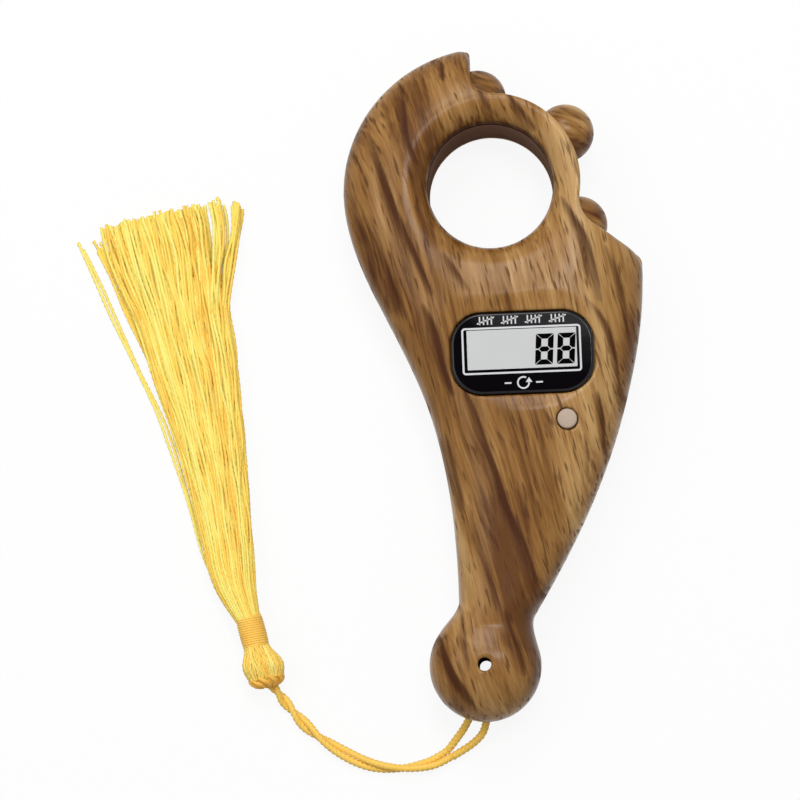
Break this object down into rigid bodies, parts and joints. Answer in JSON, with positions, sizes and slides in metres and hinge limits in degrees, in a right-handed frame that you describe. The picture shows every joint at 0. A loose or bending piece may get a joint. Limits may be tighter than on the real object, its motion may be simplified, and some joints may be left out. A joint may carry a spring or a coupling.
{
  "type": "bead tally counter",
  "caption": "Wood-grain hand counter with a finger hole, a thumb-turned bead wheel in a window, a small number display, a reset button and a tassel on a cord.",
  "frame": {"origin": "on the axis of the finger hole, in the parting plane of the two body halves", "axes": "+Z out of the face along the finger hole, +Y along the body away from the tassel end, +X across the body to the side of the bead window"},
  "size_m": [0.09, 0.1202, 0.0165],
  "materials": {
    "wood_grain": "satin wood-grain finish on a moulded half",
    "dark_plastic": "smooth, plain dark brown",
    "bead_grain": "satin wood-grain finish",
    "window_black": "polished black",
    "panel_glass": "pale grey reflective display",
    "strip_rubber": "matte",
    "board_green": "solder-masked board",
    "resin_black": "cast resin",
    "screw_steel": "plated",
    "button_beige": "smooth beige",
    "contact_brass": "spring strip",
    "cell_steel": "plated can",
    "yarn_yellow": "glossy twisted yarn"
  },
  "bodies": {
    "counter": {"front_shell": "wood_grain", "back_shell": "wood_grain", "finger_sleeve": "dark_plastic", "display_lens": "window_black", "display_panel": "panel_glass", "contact_strips": "strip_rubber", "circuit_board": "board_green", "chip_cap": "resin_black", "board_screws": "screw_steel", "reset_dome": "cell_steel", "click_spring": "contact_brass", "count_contact": "contact_brass", "button_cell": "cell_steel", "cell_clip_positive": "contact_brass", "cell_spring_negative": "contact_brass", "battery_cover": "wood_grain", "battery_cover_screw": "screw_steel", "shell_screws": "screw_steel", "cord_loop": "yarn_yellow", "tassel_cord": "yarn_yellow", "tassel_head": "yarn_yellow", "tassel_binding": "yarn_yellow", "tassel_skirt": "yarn_yellow"},
    "bead_wheel": {"wheel_hub": "dark_plastic", "bead_1": "bead_grain", "bead_2": "bead_grain", "bead_3": "bead_grain", "bead_4": "bead_grain", "bead_5": "bead_grain", "bead_6": "bead_grain"},
    "reset_button": {"reset_button": "button_beige"}
  },
  "joints": [
    {"name": "wheel_spin", "type": "hinge", "parent": "counter", "child": "bead_wheel", "pos_m": [0, 0, 0], "axis": [0, 0, 1], "continuous": true, "deforming": ["click_spring"]},
    {"name": "reset_press", "type": "slide", "parent": "counter", "child": "reset_button", "axis": [0, 0, -1], "range_m": [0, 0.0008], "stiffness_N_per_m": 1200}
  ]
}
